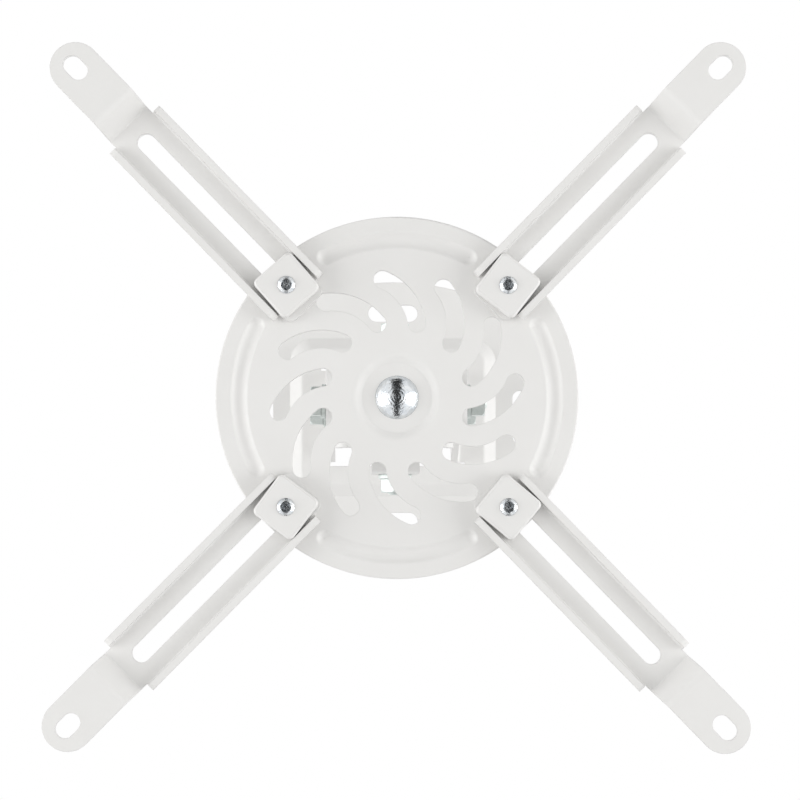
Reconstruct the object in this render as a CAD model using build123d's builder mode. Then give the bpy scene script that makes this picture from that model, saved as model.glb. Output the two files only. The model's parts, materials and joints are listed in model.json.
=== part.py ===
from build123d import *

import os
from math import cos, hypot, radians, sqrt, tan

# A projector ceiling mount. A pressed plate screws to the ceiling, and three folded brackets hang
# from it on cross bolts, so that the round spider disc at the bottom can tilt, roll and swivel.
# Four channel arms are clamped to the disc and reach out to the projector's screw holes.
# Millimetres, +Z up. The origin lies on the ceiling, above the middle of the plate.

# Sheet stock
bracket_sheet = 2.5
disc_sheet = 2.0
arm_sheet = 2.5
bracket_bend = 3.0
arm_bend = 2.0

# Heights: the disc's face below the ceiling, then each axis above the one below it
disc_drop = 120.0
tilt_rise = 23.0
roll_rise = 31.0
hang_rise = 24.0

# Clearances
wall_gap = 0.25
hole_gap = 0.3
washer_gap = 0.2

# Pressed ceiling plate
plate_width = 103.0
plate_length = 104.0
plate_corner_x = 40.0
plate_corner_y = 43.5
plate_corner_radius = 12.0
notch_depth = 5.5
notch_width = 20.5
notch_corner = 3.0
field_width = 79.0
field_length = 60.6
field_radius = 9.0
field_depth = 4.0
field_slope = 48.0
field_edge = 2.0
ceiling_slot_spacing = 80.0
ceiling_slot_length = 19.0
ceiling_slot_width = 6.5
window_length = 38.0
ear_gap = 44.0
ear_width = 35.0

# Folded brackets
fold_height = 10.0
pivot_radius = 8.5
hanger_web_rise = 16.75
hanger_width = 28.0
roll_strap_width = 17.0
cradle_web_rise = 12.75
cradle_width = 28.0
swivel_width = 30.0

# Cross bolts, their washers and nuts
bolt_diameter = 6.0
bolt_length = 58.0
hex_across = 10.0
hex_slope = 30.0
hex_face_share = 0.95
head_height = 4.0
nut_height = 5.0
washer_diameter = 12.0
washer_thickness = 1.6
end_chamfer = 1.0

# Spider disc
disc_diameter = 125.0
disc_edge = 0.5
slot_count = 12
slot_width = 6.2
slot_inner_radius = 26.4
slot_inset = 21.5
slot_sweep = 22.0
slot_curve = 19.4
slot_first_angle = 45.0
bead_count = 4
bead_inset = 8.1
bead_width = 5.4
bead_depth = 1.25
bead_half_angle = 27.0
bead_shoulder = 1.0
dish_radius = 14.8
dish_floor_radius = 12.4
dish_depth = 1.6
dish_bend = 2.0

# Cup-head bolt on which the disc swivels
cup_diameter = 15.0
cup_height = 3.6
neck_side = 6.0
neck_height = 1.8
centre_washer_diameter = 18.0
lock_nut_collar = 1.5
lock_nut_collar_diameter = 8.6
centre_bolt_end = 2.0

# Arms, measured along the arm from the clamp bolt
clamp_inset = 8.76
arm_width = 23.7
flange_height = 6.5
flange_start = -4.9
flange_end = 75.9
flange_corner = 2.5
tongue_start = -9.8
tongue_width = 17.0
tongue_corner = 3.0
arm_slot_width = 6.4
arm_slot_start = -3.5
arm_slot_end = 69.9
joggle_start = 79.4
joggle_end = 85.7
joggle_height = 10.0
tip_hole_reach = 103.9
tip_hole_width = 6.3
tip_hole_length = 9.4
tab_width = 17.5

# Clamps
clamp_side = 16.8
clamp_thickness = 5.0
clamp_corner = 2.0
clamp_edge = 0.7
clamp_bolt_proud = 1.1
socket_across = 3.4
socket_depth = 3.0

# Where each arm points and how far it is drawn out, and how far its clamp is turned in the channel
arm_angle = {"front_left": 225.7, "front_right": 314.3, "back_left": 134.7, "back_right": 45.8}
arm_slide = {"front_left": -0.6, "front_right": 0.3, "back_left": 0.0, "back_right": 0.3}
clamp_turn = {"front_left": 3.0, "front_right": -6.5, "back_left": -8.0, "back_right": -6.0}
side_x = {"front_left": -1, "front_right": 1, "back_left": -1, "back_right": 1}
side_y = {"front_left": -1, "front_right": -1, "back_left": 1, "back_right": 1}

# Sizes that follow from those above
tilt_drop = disc_drop - tilt_rise
roll_drop = tilt_drop - roll_rise
hang_drop = roll_drop - hang_rise
hanger_web_drop = roll_drop - hanger_web_rise
cradle_web_drop = tilt_drop - cradle_web_rise
slot_outer_radius = disc_diameter / 2 - slot_inset
bead_radius = disc_diameter / 2 - bead_inset
clamp_spacing = (disc_diameter - 2 * clamp_inset) / sqrt(2)
disc_face = -disc_drop
disc_back = disc_face + disc_sheet
field_face = -field_depth - bracket_sheet
ear_outer = ear_gap + 2 * bracket_sheet
inner_outer = ear_gap - 2 * wall_gap
pivot_hole_radius = bolt_diameter / 2 + hole_gap
washer_hole_radius = bolt_diameter / 2 + washer_gap
bolt_grip = ear_outer + 2 * washer_thickness
swivel_seat = disc_back + dish_depth
swivel_top = swivel_seat + bracket_sheet
groove_radius = (bead_width**2 / 4 + bead_depth**2) / (2 * bead_depth)
groove_centre = disc_face + bead_depth - groove_radius


def folded_strap(face_plane, side_plane, outer, width, web_drop, pivot_drop, walls_up):
    """A strip folded into a U: a flat web and two walls that end round about a pivot hole."""
    way = 1 if walls_up else -1
    middle = outer / 2 - bracket_sheet / 2
    wall_end = way * pivot_radius - pivot_drop
    with BuildPart() as strap:
        with BuildSketch(face_plane):
            with BuildLine():
                FilletPolyline(
                    (-middle, wall_end),
                    (-middle, -web_drop),
                    (middle, -web_drop),
                    (middle, wall_end),
                    radius=bracket_bend,
                )
            trace(line_width=bracket_sheet)
        extrude(amount=width / 2, both=True)
        with BuildSketch(side_plane) as side:
            with Locations((0, -pivot_drop)):
                Circle(pivot_radius)
            with Locations((0, -web_drop)):
                Rectangle(width, fold_height)
            make_hull(side.edges())
        extrude(amount=outer, both=True, mode=Mode.INTERSECT)
        with BuildSketch(side_plane):
            with Locations((0, -pivot_drop)):
                Circle(pivot_hole_radius)
        extrude(amount=outer, both=True, mode=Mode.SUBTRACT)
    return strap.part


def ceiling_ears():
    """The two ears that are folded down from the edges of the plate's window."""
    middle = ear_gap / 2 + bracket_sheet / 2
    level = field_face + bracket_sheet / 2
    root = ear_outer / 2 + 2 * bracket_bend
    with BuildPart() as ears:
        with BuildSketch(Plane.XZ):
            for side in (-1, 1):
                with BuildLine():
                    FilletPolyline(
                        (side * root, level),
                        (side * middle, level),
                        (side * middle, -hang_drop - pivot_radius),
                        radius=bracket_bend,
                    )
                trace(line_width=bracket_sheet)
        extrude(amount=ear_width / 2, both=True)
        with BuildSketch(Plane.YZ) as side_view:
            with Locations((0, -hang_drop)):
                Circle(pivot_radius)
            with Locations((0, level)):
                Rectangle(ear_width, fold_height)
            make_hull(side_view.edges())
        extrude(amount=plate_width, both=True, mode=Mode.INTERSECT)
        with BuildSketch(Plane.YZ):
            with Locations((0, -hang_drop)):
                Circle(pivot_hole_radius)
        extrude(amount=plate_width, both=True, mode=Mode.SUBTRACT)
    return ears.part


def hex_blank(seat, height):
    """A hexagon prism on the seat plane, with its outer corners turned off at a slope."""
    corner_radius = hex_across / sqrt(3)
    corner_cut = corner_radius - hex_face_share * hex_across / 2
    with BuildPart() as blank:
        with BuildSketch(seat):
            Circle(corner_radius)
        extrude(amount=height)
        outer_face = blank.faces().sort_by(Axis(seat.origin, seat.z_dir))[-1]
        chamfer(outer_face.edges(), corner_cut * tan(radians(hex_slope)), corner_cut, reference=outer_face)
        with BuildSketch(seat):
            RegularPolygon(hex_across / 2, 6, major_radius=False)
        extrude(amount=height, mode=Mode.INTERSECT)
    return blank.part


def hex_bolt(seat, length):
    """A hexagon bolt. The seat plane lies under its head, and the shank runs along the plane's normal."""
    with BuildPart() as bolt:
        add(hex_blank(-seat, head_height))
        with BuildSketch(seat):
            Circle(bolt_diameter / 2)
        extrude(amount=length)
        shank_end = bolt.faces().sort_by(Axis(seat.origin, seat.z_dir))[-1]
        chamfer(shank_end.edges(), length=end_chamfer)
    return bolt.part


def hex_nut(seat):
    """A plain hexagon nut that lies on the seat plane."""
    with BuildPart() as nut:
        add(hex_blank(seat, nut_height))
        with BuildSketch(seat):
            Circle(bolt_diameter / 2)
        extrude(amount=nut_height, mode=Mode.SUBTRACT)
    return nut.part


def washer(seat, diameter):
    """A flat washer that lies on the seat plane."""
    with BuildPart() as ring:
        with BuildSketch(seat):
            Circle(diameter / 2)
            Circle(washer_hole_radius, mode=Mode.SUBTRACT)
        extrude(amount=washer_thickness)
    return ring.part


def cross_bolt(name, direction, drop):
    """A bolt right through two nested brackets, with its washers and nut. The head lies at the start."""
    reach = Vector(direction) * (bolt_grip / 2)
    middle = Vector(0, 0, -drop)
    head_seat = Plane(middle - reach, z_dir=direction)
    nut_seat = Plane(middle + reach, z_dir=direction)
    washers = [
        washer(head_seat, washer_diameter),
        washer(nut_seat.offset(-washer_thickness), washer_diameter),
    ]
    keep(hex_bolt(head_seat, bolt_length), name + "_bolt")
    keep(Compound(children=washers), name + "_washers")
    keep(hex_nut(nut_seat), name + "_nut")


def keep(shape, name):
    """Labels a finished piece and writes it to its file."""
    shape.label = name
    export_step(shape, f"parts/{name}.step")


def arc_bead(section_radius, low, high):
    """A round bar bent along the bead's arc, with ball ends, cut off flat at two heights."""
    start = Plane.XZ.rotated((0, 0, -bead_half_angle))
    middle = Vector(bead_radius, 0, groove_centre)
    end_points = [middle.rotate(Axis.Z, turn) for turn in (-bead_half_angle, bead_half_angle)]
    with BuildPart() as bead:
        with BuildSketch(start):
            with Locations((bead_radius, groove_centre)):
                Circle(section_radius)
        revolve(axis=Axis.Z, revolution_arc=2 * bead_half_angle)
        with Locations(*end_points):
            Sphere(section_radius)
        with BuildSketch(Plane.XY.offset(low)):
            Circle(disc_diameter / 2)
        extrude(amount=high - low, mode=Mode.INTERSECT)
    return bead.part


def on_bead(point):
    """Whether a point of the disc's face lies at the edge of a bead."""
    return abs(hypot(point.X, point.Y) - bead_radius) < bead_width


def channel_arm():
    """One arm along +X, with its clamp bolt at the origin and the disc's face at Z = 0."""
    middle = arm_width / 2 - arm_sheet / 2
    floor = -arm_sheet / 2
    tab_end = tip_hole_reach + tab_width / 2
    with BuildPart() as arm:
        with BuildSketch(Plane.YZ.offset(flange_start)):
            with BuildLine():
                FilletPolyline(
                    (-middle, -flange_height),
                    (-middle, floor),
                    (middle, floor),
                    (middle, -flange_height),
                    radius=arm_bend,
                )
            trace(line_width=arm_sheet)
        extrude(amount=flange_end - flange_start)
        flange_tips = arm.edges().filter_by(Axis.Y).group_by(Axis.Z)[0]
        fillet(flange_tips, flange_corner)
        with BuildSketch() as tongue:
            with Locations((tongue_start, 0)):
                tongue_length = flange_start - tongue_start + arm_sheet
                Rectangle(tongue_length, tongue_width, align=(Align.MIN, Align.CENTER))
            fillet(tongue.vertices().group_by(Axis.X)[0], tongue_corner)
        extrude(amount=-arm_sheet)
        with BuildSketch(Plane.XZ):
            with BuildLine():
                FilletPolyline(
                    (flange_end, floor),
                    (joggle_start, floor),
                    (joggle_end, floor - joggle_height),
                    (tab_end, floor - joggle_height),
                    radius=arm_bend,
                )
            trace(line_width=arm_sheet)
        extrude(amount=tab_width / 2, both=True)
        with BuildSketch():
            with Locations((tip_hole_reach, 0)):
                Rectangle(tab_width, 2 * tab_width, align=(Align.MIN, Align.CENTER))
                Circle(tab_width / 2, mode=Mode.SUBTRACT)
                SlotOverall(tip_hole_length, tip_hole_width)
            with Locations(((arm_slot_start + arm_slot_end) / 2, 0)):
                SlotCenterToCenter(arm_slot_end - arm_slot_start, arm_slot_width)
        extrude(amount=-2 * joggle_height, mode=Mode.SUBTRACT)
    return arm.part


def clamp_plate():
    """The square clamp that holds an arm's floor against the disc."""
    with BuildPart() as clamp:
        with BuildSketch(Plane.XY.offset(-arm_sheet)):
            RectangleRounded(clamp_side, clamp_side, clamp_corner)
            Circle(bolt_diameter / 2, mode=Mode.SUBTRACT)
        extrude(amount=-clamp_thickness)
        faces = clamp.faces().filter_by(Axis.Z)
        rims = [face.outer_wire().edges() for face in faces]
        chamfer(rims[0] + rims[1], length=clamp_edge)
    return clamp.part


def clamp_bolt():
    """The bolt from behind the disc into a clamp plate. Its end has a socket for a hexagon key."""
    seat = Plane((0, 0, disc_sheet + washer_thickness), z_dir=(0, 0, -1))
    length = washer_thickness + disc_sheet + arm_sheet + clamp_thickness + clamp_bolt_proud
    with BuildPart() as bolt:
        add(hex_bolt(seat, length))
        with BuildSketch(seat.offset(length - socket_depth)):
            RegularPolygon(socket_across / 2, 6, major_radius=False)
        extrude(amount=socket_depth, mode=Mode.SUBTRACT)
    return bolt.part


def cup_bolt(seat, top):
    """A cup-head bolt: a low round head, a square neck that the disc turns by, and a plain shank."""
    cup_radius = (cup_diameter**2 / 4 + cup_height**2) / (2 * cup_height)
    with BuildPart() as bolt:
        with BuildSketch(Plane.XZ):
            with BuildLine():
                Polyline((0, seat - cup_height), (0, seat), (cup_diameter / 2, seat))
                RadiusArc((cup_diameter / 2, seat), (0, seat - cup_height), cup_radius)
            make_face()
        revolve(axis=Axis.Z)
        with BuildSketch(Plane.XY.offset(seat)):
            Rectangle(neck_side, neck_side)
        extrude(amount=neck_height)
        with BuildSketch(Plane.XY.offset(seat)):
            Circle(bolt_diameter / 2)
        extrude(amount=top - seat)
        chamfer(bolt.faces().sort_by(Axis.Z)[-1].edges(), length=end_chamfer)
    return bolt.part


def lock_nut(seat):
    """A hexagon nut with the round collar that holds its locking ring."""
    with BuildPart() as nut:
        add(hex_nut(seat))
        with BuildSketch(seat.offset(nut_height)):
            Circle(lock_nut_collar_diameter / 2)
            Circle(bolt_diameter / 2, mode=Mode.SUBTRACT)
        extrude(amount=lock_nut_collar)
    return nut.part


os.makedirs("parts", exist_ok=True)

# Ceiling plate: a bowed outline notched at both sides, a pressed field that stands off the ceiling,
# and a window with two ears
slope_run = tan(radians(field_slope))
slope_wall = bracket_sheet / cos(radians(field_slope))
hollow_inset = slope_wall - bracket_sheet * slope_run
hollow_width = field_width - 2 * hollow_inset
hollow_length = field_length - 2 * hollow_inset
window_edge = ear_outer / 2 + bracket_bend
front_left = (-plate_corner_x, -plate_corner_y)
front_right = (plate_corner_x, -plate_corner_y)
back_left = (-plate_corner_x, plate_corner_y)
back_right = (plate_corner_x, plate_corner_y)
with BuildPart() as ceiling_plate:
    with BuildSketch() as outline:
        with BuildLine():
            ThreePointArc(front_left, (0, -plate_length / 2), front_right)
            ThreePointArc(front_right, (plate_width / 2, 0), back_right)
            ThreePointArc(back_right, (0, plate_length / 2), back_left)
            ThreePointArc(back_left, (-plate_width / 2, 0), front_left)
        make_face()
        fillet(outline.vertices(), plate_corner_radius)
        with GridLocations(plate_width, 0, 2, 1):
            RectangleRounded(2 * notch_depth, notch_width, notch_corner, mode=Mode.SUBTRACT)
    extrude(amount=-bracket_sheet)
    with BuildSketch(Plane((0, 0, -bracket_sheet), z_dir=(0, 0, -1))):
        RectangleRounded(field_width, field_length, field_radius)
    extrude(amount=field_depth, taper=field_slope)
    fillet(ceiling_plate.faces().sort_by(Axis.Z)[0].edges(), field_edge)
    with BuildSketch(Plane((0, 0, 0), z_dir=(0, 0, -1))):
        RectangleRounded(hollow_width, hollow_length, field_radius - hollow_inset)
    extrude(amount=field_depth, taper=field_slope, mode=Mode.SUBTRACT)
    with BuildSketch():
        with GridLocations(0, ceiling_slot_spacing, 1, 2):
            SlotOverall(ceiling_slot_length, ceiling_slot_width)
        Rectangle(2 * window_edge, window_length)
    extrude(amount=-2 * disc_drop, mode=Mode.SUBTRACT)
    add(ceiling_ears())
keep(ceiling_plate.part, "ceiling_plate")

# Hanger: walls up to the ceiling ears, straps down to the roll axis
with BuildPart() as hanger_bracket:
    add(folded_strap(Plane.XZ, Plane.YZ, inner_outer, hanger_width, hanger_web_drop, hang_drop, True))
    add(folded_strap(Plane.YZ, Plane.XZ, inner_outer, roll_strap_width, hanger_web_drop, roll_drop, False))
keep(hanger_bracket.part, "hanger_bracket")

# Cradle: straps up to the roll axis outside the hanger's, walls down to the tilt axis
with BuildPart() as cradle_bracket:
    add(folded_strap(Plane.YZ, Plane.XZ, ear_outer, roll_strap_width, cradle_web_drop, roll_drop, True))
    add(folded_strap(Plane.XZ, Plane.YZ, inner_outer, cradle_width, cradle_web_drop, tilt_drop, False))
keep(cradle_bracket.part, "cradle_bracket")

# Swivel bracket: lies on the back of the disc's dish, with walls up to the tilt axis
swivel_web_drop = bracket_sheet / 2 - swivel_top
with BuildPart() as swivel_bracket:
    add(folded_strap(Plane.XZ, Plane.YZ, ear_outer, swivel_width, swivel_web_drop, tilt_drop, True))
    with BuildSketch(Plane.XY.offset(swivel_seat)):
        Circle(pivot_hole_radius)
    extrude(amount=bracket_sheet, mode=Mode.SUBTRACT)
keep(swivel_bracket.part, "swivel_bracket")

cross_bolt("hanger", (-1, 0, 0), hang_drop)
cross_bolt("roll", (0, 1, 0), roll_drop)
cross_bolt("tilt", (1, 0, 0), tilt_drop)

# Spider disc: spiral slots, four arc beads and a dish, all pressed up so that the arms lie on a flat face
slot_start = Vector(slot_inner_radius, 0).rotate(Axis.Z, slot_first_angle)
slot_end = Vector(slot_outer_radius, 0).rotate(Axis.Z, slot_first_angle - slot_sweep)
disc_middle = disc_face + disc_sheet / 2
bead_top = disc_face + bead_depth
ridge = arc_bead(groove_radius + disc_sheet, disc_middle, bead_top + disc_sheet)
groove = arc_bead(groove_radius, groove_centre, bead_top)
with BuildPart() as spider_disc:
    with BuildSketch(Plane.XY.offset(disc_face)):
        Circle(disc_diameter / 2)
        with BuildLine(mode=Mode.PRIVATE) as slot_path:
            RadiusArc(slot_start, slot_end, slot_curve)
        with PolarLocations(0, slot_count):
            SlotArc(slot_path.line.edge(), slot_width, mode=Mode.SUBTRACT)
        with GridLocations(clamp_spacing, clamp_spacing, 2, 2):
            Circle(pivot_hole_radius, mode=Mode.SUBTRACT)
        Circle(dish_radius + dish_bend, mode=Mode.SUBTRACT)
    extrude(amount=disc_sheet)
    rim = spider_disc.edges().filter_by(GeomType.CIRCLE).sort_by(SortBy.RADIUS)[-2:]
    fillet(rim, disc_edge)
    with BuildSketch(Plane.XZ):
        with BuildLine():
            FilletPolyline(
                (0, disc_middle + dish_depth),
                (dish_floor_radius, disc_middle + dish_depth),
                (dish_radius, disc_middle),
                (dish_radius + dish_bend, disc_middle),
                radius=dish_bend,
            )
        trace(line_width=disc_sheet)
    revolve(axis=Axis.Z)
    with BuildSketch(Plane.XY.offset(disc_face)):
        Rectangle(neck_side, neck_side)
    extrude(amount=disc_drop, both=True, mode=Mode.SUBTRACT)
    with PolarLocations(0, bead_count):
        add(ridge)
        add(groove, mode=Mode.SUBTRACT)
    face_edges = spider_disc.edges().filter_by_position(Axis.Z, disc_face, disc_face)
    fillet(face_edges.filter_by(lambda edge: on_bead(edge.position_at(0.5))), bead_shoulder)
keep(spider_disc.part, "spider_disc")

# Swivel joint: the cup-head bolt, its wide washer and its lock nut
centre_nut_seat = Plane.XY.offset(swivel_top + washer_thickness)
centre_bolt_top = swivel_top + washer_thickness + nut_height + lock_nut_collar + centre_bolt_end
keep(cup_bolt(disc_face + dish_depth, centre_bolt_top), "centre_bolt")
keep(washer(Plane.XY.offset(swivel_top), centre_washer_diameter), "centre_washer")
keep(lock_nut(centre_nut_seat), "centre_nut")

# Four arms, each with its clamp plate and clamp bolt
one_arm = channel_arm()
one_clamp = clamp_plate()
one_clamp_bolt = clamp_bolt()
clamp_washers = []
for corner, angle in arm_angle.items():
    x = side_x[corner] * clamp_spacing / 2
    y = side_y[corner] * clamp_spacing / 2
    turned = Location((x, y, disc_face), (0, 0, angle + clamp_turn[corner]))
    drawn_out = Vector(arm_slide[corner], 0).rotate(Axis.Z, angle)
    arm_seat = Location((x + drawn_out.X, y + drawn_out.Y, disc_face), (0, 0, angle))
    keep(one_arm.moved(arm_seat), f"arm_{corner}")
    keep(one_clamp.moved(turned), f"clamp_plate_{corner}")
    keep(one_clamp_bolt.moved(turned), f"clamp_bolt_{corner}")
    clamp_washers.append(washer(Plane((x, y, disc_back)), washer_diameter))
keep(Compound(children=clamp_washers), "clamp_washers")
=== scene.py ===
# %% [markdown]
# # A white projector mount, seen from below
# The mount hangs from a ceiling: a pressed plate, three folded brackets, a slotted disc and four long
# arms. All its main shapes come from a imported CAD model, which is loaded here as a fixed frame in metres,
# +Z up. Blender adds what CAD leaves out: the powder coat, the zinc, the screw threads, the light and the
# camera.

# %% Load the frame
import json
import math

import bpy
from mathutils import Matrix, Vector


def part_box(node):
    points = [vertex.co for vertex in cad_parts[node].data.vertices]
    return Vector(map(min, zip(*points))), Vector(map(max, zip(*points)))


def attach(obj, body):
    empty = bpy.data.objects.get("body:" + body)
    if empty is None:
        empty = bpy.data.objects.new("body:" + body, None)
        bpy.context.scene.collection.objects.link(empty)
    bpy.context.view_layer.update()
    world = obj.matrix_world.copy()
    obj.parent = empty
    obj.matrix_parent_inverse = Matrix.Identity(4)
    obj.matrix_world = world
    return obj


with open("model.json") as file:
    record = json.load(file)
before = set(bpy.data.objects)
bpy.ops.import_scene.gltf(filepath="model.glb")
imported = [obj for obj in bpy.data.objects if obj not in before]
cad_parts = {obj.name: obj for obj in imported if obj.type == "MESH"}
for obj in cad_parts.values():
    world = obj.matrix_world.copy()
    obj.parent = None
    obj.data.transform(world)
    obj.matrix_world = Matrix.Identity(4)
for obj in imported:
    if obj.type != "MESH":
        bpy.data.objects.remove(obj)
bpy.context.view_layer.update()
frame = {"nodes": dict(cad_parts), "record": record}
MM = 0.001
disc_low, disc_high = (Vector(corner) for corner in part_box("spider_disc"))
disc_centre = Vector(((disc_low.x + disc_high.x) / 2, (disc_low.y + disc_high.y) / 2, disc_low.z))
print("nodes", len(frame["nodes"]), "disc face at", round(disc_centre.z / MM, 2), "mm")

# %% [markdown]
# ## The colour of the powder coat
# Each sheet part is sprayed with white powder and baked, which leaves a white that is very slightly
# uneven. One flat colour would look like plastic, and a painted texture would need an unwrapped mesh. So
# a slow noise in the piece's own coordinates drives a ramp between two near whites. The noise and the
# ramp are small functions, because the zinc further down needs them too.


# %% Colour of the coat
def start_material(name):
    """A new node material. Returns it with its node tree and its main shader."""
    material = bpy.data.materials.new(name)
    material.use_nodes = True
    return material, material.node_tree, material.node_tree.nodes["Principled BSDF"]


def noise(tree, per_metre, detail):
    """A noise texture in the object's own coordinates, so that it is fixed to the piece."""
    place = tree.nodes.new("ShaderNodeTexCoord")
    texture = tree.nodes.new("ShaderNodeTexNoise")
    texture.inputs["Scale"].default_value = per_metre
    texture.inputs["Detail"].default_value = detail
    tree.links.new(place.outputs["Object"], texture.inputs["Vector"])
    return texture.outputs["Fac"]


def ramp(tree, factor, stops):
    """A colour ramp with two (position, colour) stops."""
    node = tree.nodes.new("ShaderNodeValToRGB")
    for element, (position, colour) in zip(node.color_ramp.elements, stops):
        element.position = position
        element.color = (*colour, 1)
    tree.links.new(factor, node.inputs["Fac"])
    return node.outputs["Color"]


coat_whites = [(0.3, (0.797, 0.790, 0.779)), (0.7, (0.814, 0.808, 0.798))]
white_coat, coat_tree, coat_shader = start_material("white_powder_coat")
tint = ramp(coat_tree, noise(coat_tree, per_metre=45, detail=3), coat_whites)
coat_tree.links.new(tint, coat_shader.inputs["Base Color"])
print("material", white_coat.name, "from", coat_whites[0][1], "to", coat_whites[1][1])

# %% [markdown]
# ## The surface of the powder coat
# The baked coat is satin, has a fine orange-peel surface, and flows round every cut edge, so that no edge
# is sharp. Modelling each edge round would change the CAD meshes, which stay as they are. A Bevel node
# rounds the edges in the shading instead, a bump adds the orange peel, and a noise lets the gloss wander
# a little.


# %% Surface of the coat
def spread(tree, factor, low, high, noise_low=0.3, noise_high=0.7):
    """Maps a noise from its usual range onto two values."""
    node = tree.nodes.new("ShaderNodeMapRange")
    node.inputs["From Min"].default_value = noise_low
    node.inputs["From Max"].default_value = noise_high
    node.inputs["To Min"].default_value = low
    node.inputs["To Max"].default_value = high
    tree.links.new(factor, node.inputs["Value"])
    return node.outputs["Result"]


def soft_edges(tree, radius):
    """A normal that rounds every edge of the mesh."""
    node = tree.nodes.new("ShaderNodeBevel")
    node.samples = 6
    node.inputs["Radius"].default_value = radius
    return node.outputs["Normal"]


def bump(tree, height, depth, normal):
    """A bump of that depth in metres on top of another normal."""
    node = tree.nodes.new("ShaderNodeBump")
    node.inputs["Distance"].default_value = depth
    tree.links.new(height, node.inputs["Height"])
    tree.links.new(normal, node.inputs["Normal"])
    return node.outputs["Normal"]


coat_edge = 0.45 * MM
peel_depth = 0.02 * MM
coat_gloss = spread(coat_tree, noise(coat_tree, per_metre=300, detail=2), low=0.33, high=0.42)
coat_tree.links.new(coat_gloss, coat_shader.inputs["Roughness"])
round_normal = soft_edges(coat_tree, coat_edge)
peel = bump(coat_tree, noise(coat_tree, per_metre=900, detail=2), peel_depth, round_normal)
coat_tree.links.new(peel, coat_shader.inputs["Normal"])
coat_shader.inputs["Specular IOR Level"].default_value = 0.45
print("coat edges rounded by", coat_edge / MM, "mm, orange peel", peel_depth / MM, "mm deep")

# %% [markdown]
# ## The zinc plate
# The bolts, nuts and washers are steel with a thin zinc plate: a cool grey metal with faint clouds and
# small knocks from the tumbling drum, and painted shade where a nut meets its washer. A metal shader does
# this with a few noises: two roughen and dent the surface, and one shifts the colour between two greys.
# An occlusion node finds the creases and darkens the colour there as painted shade. The cross bolts are
# dull and slightly green, the clamp screws brighter, bluer and more knocked, so one function makes both.


# %% Zinc plate
def painted_crease_shade(tree, colour, reach, darkest):
    """Paints shade into a colour where another surface lies within that reach, in creases and thin gaps."""
    # The occlusion node measures how near other surfaces are, and that nearness becomes painted shade.
    near = tree.nodes.new("ShaderNodeAmbientOcclusion")
    near.samples = 8
    near.inputs["Distance"].default_value = reach
    shade = tree.nodes.new("ShaderNodeMapRange")
    shade.inputs["To Min"].default_value = darkest
    tree.links.new(near.outputs["AO"], shade.inputs["Value"])
    scale = tree.nodes.new("ShaderNodeVectorMath")
    scale.operation = "SCALE"
    tree.links.new(colour, scale.inputs[0])
    tree.links.new(shade.outputs["Result"], scale.inputs["Scale"])
    return scale.outputs["Vector"]


def zinc_plate(name, roughness, darker, lighter, knock_depth):
    """Zinc with faint clouds, painted shade in its creases, tumbling marks and soft edges."""
    material, tree, shader = start_material(name)
    clouds = ramp(tree, noise(tree, per_metre=420, detail=4), [(0.32, darker), (0.68, lighter)])
    # The base colour is darkened as painted shade wherever another surface lies within 0.8 mm.
    tree.links.new(painted_crease_shade(tree, clouds, reach=0.8 * MM, darkest=0.1), shader.inputs["Base Color"])
    gloss = spread(tree, noise(tree, per_metre=1500, detail=3), *roughness)
    tree.links.new(gloss, shader.inputs["Roughness"])
    edges = soft_edges(tree, radius=0.25 * MM)
    knocks = bump(tree, noise(tree, per_metre=900, detail=4), knock_depth, edges)
    tree.links.new(knocks, shader.inputs["Normal"])
    shader.inputs["Metallic"].default_value = 1.0
    return material


blue_greys = {"darker": (0.66, 0.70, 0.74), "lighter": (0.84, 0.86, 0.87)}
green_greys = {"darker": (0.68, 0.73, 0.71), "lighter": (0.80, 0.84, 0.82)}
light_knocks = 0.09 * MM
deep_knocks = 0.32 * MM
bright_zinc = zinc_plate("bright_zinc", roughness=(0.16, 0.3), **blue_greys, knock_depth=deep_knocks)
dull_zinc = zinc_plate("dull_zinc", roughness=(0.5, 0.65), **green_greys, knock_depth=light_knocks)
print("materials", bright_zinc.name, dull_zinc.name)

# %% [markdown]
# ## The turned cup head
# The round head of the centre bolt was turned on a lathe, and the tool left faint rings. Rings could be
# cut into the mesh, but they are only hundredths of a millimetre deep. So a wave of rings round the
# bolt's axis, pulled about by some distortion, becomes a second bump on top of the knocks.


# %% Turning marks
def turning_rings(tree, spacing, wave_radians=20):
    """Wavering rings round the object's Z axis. Blender's wave runs 20 radians per unit at scale 1."""
    place = tree.nodes.new("ShaderNodeTexCoord")
    rings = tree.nodes.new("ShaderNodeTexWave")
    rings.wave_type = "RINGS"
    rings.rings_direction = "Z"
    rings.inputs["Scale"].default_value = 2 * math.pi / (wave_radians * spacing)
    rings.inputs["Distortion"].default_value = 6
    rings.inputs["Detail"].default_value = 3
    rings.inputs["Detail Scale"].default_value = 2
    tree.links.new(place.outputs["Object"], rings.inputs["Vector"])
    return rings.outputs["Fac"]


ring_spacing = 1.0 * MM
ring_depth = 0.028 * MM
turned_zinc = zinc_plate("turned_zinc", roughness=(0.12, 0.26), **blue_greys, knock_depth=light_knocks)
turned_tree = turned_zinc.node_tree
head_normal = turned_tree.nodes["Principled BSDF"].inputs["Normal"]
head_knocks = head_normal.links[0].from_socket
tool_marks = bump(turned_tree, turning_rings(turned_tree, ring_spacing), ring_depth, head_knocks)
turned_tree.links.new(tool_marks, head_normal)
print("material", turned_zinc.name, "with rings every", ring_spacing / MM, "mm")

# %% [markdown]
# ## Coat each CAD node
# The sheet parts of the real mount are coated, and its small hardware is plated. Each node could be given
# its finish by name, but the record already says which is which, and reading its list keeps the finishes
# right when a node is added. Only the screws that face the room get the brighter zincs, by their names.

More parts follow.
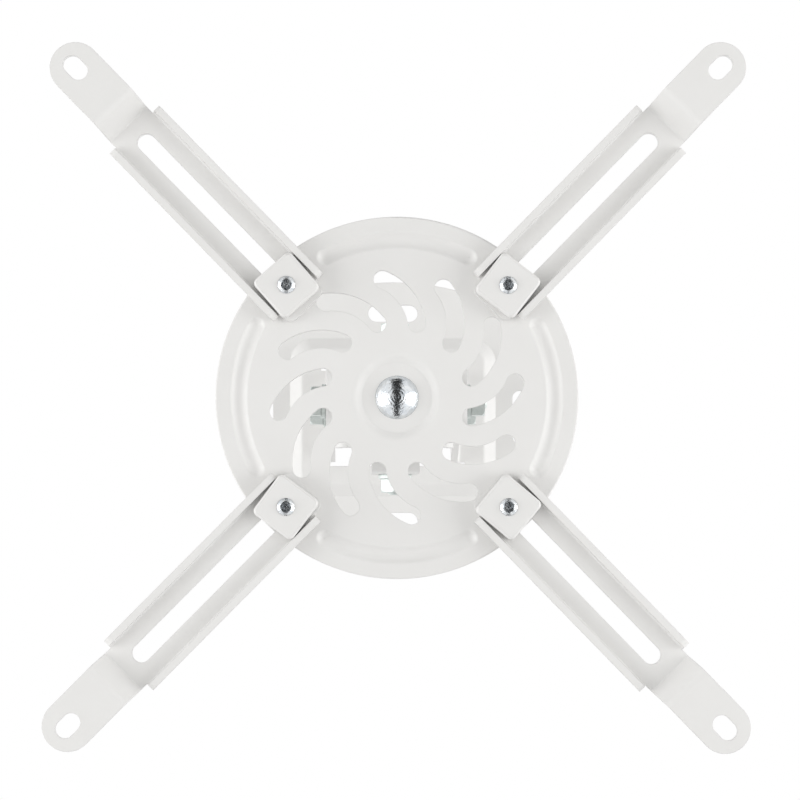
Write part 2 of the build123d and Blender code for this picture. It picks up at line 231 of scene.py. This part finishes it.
# %% Give the nodes their finish
finish = {"white_coat": white_coat, "zinc": dull_zinc}
for part in frame["record"]["subparts"]:
    node = frame["nodes"][part["node"]]
    coat = finish[part["material_slot"]]
    if part["node"] == "centre_bolt":
        coat = turned_zinc
    if part["node"].startswith("clamp_bolt"):
        coat = bright_zinc
    node.data.materials.clear()
    node.data.materials.append(coat)
for coat in (white_coat, dull_zinc, bright_zinc, turned_zinc):
    print(coat.name, "on", sum(node.data.materials[0] == coat for node in frame["nodes"].values()), "nodes")

# %% [markdown]
# ## Where the threads are
# In CAD each shank is a plain cylinder. A real bolt has a rolled thread over its last stretch, which
# shows beyond the nut and between the brackets. Its start could be typed in as numbers, but the boxes of
# the bolts in the frame give the same places and follow any change in the CAD model.

# %% Threads in a list
X, Y, Z = range(3)
end_chamfer = 1.3 * MM
cross_thread = 19 * MM
short_thread = 8 * MM
threads = (
    # name, body, bolt, its axis, whether its tip is at the high end, length
    ("hanger_thread", "ceiling", "hanger_bolt", X, False, cross_thread),
    ("roll_thread", "cradle", "roll_bolt", Y, True, cross_thread),
    ("tilt_thread", "swivel_base", "tilt_bolt", X, True, cross_thread),
    ("centre_thread", "disc", "centre_bolt", Z, True, short_thread),
)


def bolt_tip(bolt, axis, at_high_end, inset):
    """The middle of a bolt's end face, moved in by an inset, and the direction towards the bolt's head."""
    low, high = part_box(bolt)
    tip = Vector([(a + b) / 2 for a, b in zip(low, high)])
    tip[axis] = high[axis] - inset if at_high_end else low[axis] + inset
    towards_head = Vector((0, 0, 0))
    towards_head[axis] = -1 if at_high_end else 1
    return tip, towards_head


tips = {name: bolt_tip(*place, end_chamfer) for name, _, *place, _ in threads}
for name, (tip, _) in tips.items():
    print(name, "starts at", [round(value / MM, 1) for value in tip], "mm")

# %% [markdown]
# ## Screw threads
# A thread is a ridge that climbs round the shank. A screw modifier could turn a profile into one, but a
# direct mesh gives exact control of the ends, where the ridge fades over one turn. Each step has three
# points, and the ridge is closed underneath and at both ends, so that it is a solid like the rest.


# %% Threads on the bolts
def thread(name, body, tip, towards_head, length, radius=3.0 * MM):
    """A helical ridge from a bolt's tip towards its head."""
    pitch = 1.0 * MM
    crest = 0.13 * MM
    sunk = 0.02 * MM
    flank = 0.42 * pitch
    steps_per_turn = 28
    points_per_step = 3
    side = towards_head.orthogonal().normalized()
    up = towards_head.cross(side)
    steps = int(length / pitch * steps_per_turn)
    verts, faces = [], []
    for step in range(steps + 1):
        turns = step / steps_per_turn
        angle = 2 * math.pi * turns
        fade = min(1, turns, (steps - step) / steps_per_turn)
        out = side * math.cos(angle) + up * math.sin(angle)
        for shift, height in ((-flank, -sunk), (0, crest * fade), (flank, -sunk)):
            verts.append(tip + towards_head * (pitch * turns + shift) + out * (radius + height))
    last = points_per_step * steps
    for here in range(0, last, points_per_step):
        ahead = here + points_per_step
        faces += [(here + a, ahead + a, ahead + b, here + b) for a, b in ((0, 1), (1, 2), (2, 0))]
    faces += [(0, 1, 2), (last, last + 2, last + 1)]
    mesh = bpy.data.meshes.new(name)
    mesh.from_pydata(verts, [], faces)
    mesh.materials.append(dull_zinc)
    ridge = bpy.data.objects.new(name, mesh)
    bpy.context.scene.collection.objects.link(ridge)
    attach(ridge, body)
    return ridge


for name, body, *_, length in threads:
    ridge = thread(name, body, *tips[name], length)
    print(ridge.name, "has", len(ridge.data.polygons), "faces")

# %% [markdown]
# ## A white room
# The photograph has a plain white ground, and even the brackets behind the disc are bright, as in a light
# tent. A tent could be built from sheets and lamps. A world is simpler: it is white to the camera, to
# mirrors and through glass, and dimmer to matt surfaces, so that the lamps still shape the folds.


# %% White room
def seen_rays(tree):
    """Gives 1 for rays from the camera, from a mirror or through glass, and 0 for all others."""
    rays = tree.nodes.new("ShaderNodeLightPath")
    seen = rays.outputs["Is Camera Ray"]
    for kind in ("Is Glossy Ray", "Is Transmission Ray"):
        either = tree.nodes.new("ShaderNodeMath")
        either.operation = "MAXIMUM"
        tree.links.new(seen, either.inputs[0])
        tree.links.new(rays.outputs[kind], either.inputs[1])
        seen = either.outputs["Value"]
    return seen


def white_world(fill):
    """A world that looks white and lights matt surfaces with that much of its strength."""
    world = bpy.data.worlds.new("white_room")
    world.use_nodes = True
    tree = world.node_tree
    background = tree.nodes["Background"]
    background.inputs["Color"].default_value = (1, 1, 1, 1)
    strength = tree.nodes.new("ShaderNodeMapRange")
    strength.inputs["To Min"].default_value = fill
    tree.links.new(seen_rays(tree), strength.inputs["Value"])
    tree.links.new(strength.outputs["Result"], background.inputs["Strength"])
    return world


bpy.context.scene.view_settings.view_transform = "Standard"
matt_fill = 0.76
bpy.context.scene.world = white_world(matt_fill)
print("world", bpy.context.scene.world.name, "lights matt surfaces with", matt_fill)

# %% [markdown]
# ## The floor
# A pale floor lies where a room's floor would be. It could be a plane primitive, but the dark gap below
# needs a sheet that bends, so one function makes both from a few stations. The floor is left out of
# mirrors, so that the zinc stays bright.


# %% Floor
def ribbon(name, stations, colour):
    """A matt sheet of the studio, not of the mount. Each station along it is (y, z, half width)."""
    corners = [(side * half, y, z) for y, z, half in stations for side in (-1, 1)]
    faces = [(2 * k, 2 * k + 1, 2 * k + 3, 2 * k + 2) for k in range(len(stations) - 1)]
    mesh = bpy.data.meshes.new(name)
    mesh.from_pydata(corners, [], faces)
    material, _, shader = start_material(name)
    shader.inputs["Base Color"].default_value = (*colour, 1)
    shader.inputs["Roughness"].default_value = 0.9
    mesh.materials.append(material)
    sheet = bpy.data.objects.new(name, mesh)
    bpy.context.scene.collection.objects.link(sheet)
    return sheet


floor_half = 20
floor_level = -2.4
floor_stations = [(y, floor_level, floor_half) for y in (-floor_half, floor_half)]
floor = ribbon("floor", floor_stations, colour=(0.88, 0.88, 0.87))
floor.visible_glossy = False
print("floor", 2 * floor_half, "m wide at", floor_level, "m")

# %% [markdown]
# ## The far edge of the floor
# In the photograph the ground is white up to its edges. A curved backdrop could hide the floor's far
# edge, but only from one side. So the floor fades to white with its distance, for the same rays that see
# the world white, and no edge shows from any side. Its light on matt surfaces stays as it is.


# %% Fade the floor
def fade_to_white(sheet, start, end):
    """Turns the sheet white between two distances from the mount, for the rays that see it."""
    tree = sheet.data.materials[0].node_tree
    place = tree.nodes.new("ShaderNodeTexCoord")
    reach = tree.nodes.new("ShaderNodeVectorMath")
    reach.operation = "LENGTH"
    tree.links.new(place.outputs["Object"], reach.inputs[0])
    fade = tree.nodes.new("ShaderNodeMapRange")
    fade.interpolation_type = "SMOOTHSTEP"
    fade.inputs["From Min"].default_value = start
    fade.inputs["From Max"].default_value = end
    tree.links.new(reach.outputs["Value"], fade.inputs["Value"])
    tree.links.new(seen_rays(tree), fade.inputs["To Max"])
    white = tree.nodes.new("ShaderNodeEmission")
    mix = tree.nodes.new("ShaderNodeMixShader")
    tree.links.new(fade.outputs["Result"], mix.inputs["Fac"])
    tree.links.new(tree.nodes["Principled BSDF"].outputs["BSDF"], mix.inputs[1])
    tree.links.new(white.outputs["Emission"], mix.inputs[2])
    tree.links.new(mix.outputs["Shader"], tree.nodes["Material Output"].inputs["Surface"])


fade_start = 5
fade_end = 18
fade_to_white(floor, fade_start, fade_end)
print("floor fades between", fade_start, "and", fade_end, "m")

# %% [markdown]
# ## The dark gap in the cup head
# In the photograph the round bolt head mirrors a dark gap between two bright sides, wider at the top. A
# band painted on the head would turn with it, which a mirror image does not. So a black ribbon lies under
# the mount and rises at both ends. Only mirrors see it, so it takes no light from the coat.

# %% Dark gap
gap_stations = [
    # y, z and half width in metres, from the top of the picture to its bottom
    (-6, 3.5, 3.4),
    (-6, -1.7, 2.0),
    (-1.6, -1.7, 0.7),
    (1.5, -1.7, 0.5),
    (6, -1.7, 1.0),
    (6, 3.0, 1.4),
]
dark_gap = ribbon("dark_gap", gap_stations, colour=(0.02, 0.02, 0.02))
dark_gap.visible_camera = False
dark_gap.visible_diffuse = False
dark_gap.visible_shadow = False
print("dark gap from", gap_stations[0], "to", gap_stations[-1])

# %% [markdown]
# ## Two softboxes
# The photograph was lit from the left and the right: each bead has a bright edge on both sides, and the
# gaps beside the clamps are dark. Small lamps would throw hard shadows. So one large area lamp stands on
# each side, half a metre below the disc, which keeps the shadows soft.


# %% Softboxes
def softbox(name, place, power, width, height):
    """A rectangular area lamp at a place seen from the disc's middle, which it faces."""
    lamp = bpy.data.lights.new(name, "AREA")
    lamp.shape = "RECTANGLE"
    lamp.size = width
    lamp.size_y = height
    lamp.energy = power
    box = bpy.data.objects.new(name, lamp)
    box.location = disc_centre + place
    box.rotation_euler = (-place).to_track_quat("-Z", "Y").to_euler()
    bpy.context.scene.collection.objects.link(box)
    return box


beside, along, below = 1.28, 0.1, 0.5
for name, side in (("left_softbox", -1), ("right_softbox", 1)):
    box = softbox(name, Vector((side * beside, along, -below)), power=10.3, width=0.9, height=1.4)
    print(box.name, "at", [round(value, 2) for value in box.location])

# %% [markdown]
# ## The camera
# The photograph looks almost straight up at the disc. The ceiling plate behind it shows a little lower
# and to the left of the disc's middle, so the camera stands slightly towards +Y and towards -X. The
# picture is 275 mm wide at the disc, and the disc's middle lies three pixels up and left of the picture's
# middle. The camera could be placed by eye. Working it out from these few values keeps the scale of the
# photograph.

# %% Camera
IMAGE_WIDTH = 800
PIXEL = 0.344 * MM
distance = 1.0
lean_x, lean_y = math.radians(-0.85), math.radians(3.7)
aim_pixels = (2.9, 2.9)
aim = disc_centre + Vector((aim_pixels[0] * PIXEL, aim_pixels[1] * PIXEL, 0))
away = Vector((math.tan(lean_x), math.tan(lean_y), -1)).normalized()
lens = bpy.data.cameras.new("camera")
lens.sensor_width = 36
lens.lens = lens.sensor_width * distance / (IMAGE_WIDTH * PIXEL)
lens.clip_start = 0.01
camera = bpy.data.objects.new("camera", lens)
picture_right = Vector((0, -1, 0)).cross(away).normalized()
picture_up = away.cross(picture_right)
camera.rotation_euler = Matrix((picture_right, picture_up, away)).transposed().to_euler()
camera.location = aim + away * distance
bpy.context.scene.collection.objects.link(camera)
bpy.context.scene.camera = camera
print("camera", [round(value, 3) for value in camera.location], "lens", round(lens.lens, 1), "mm")
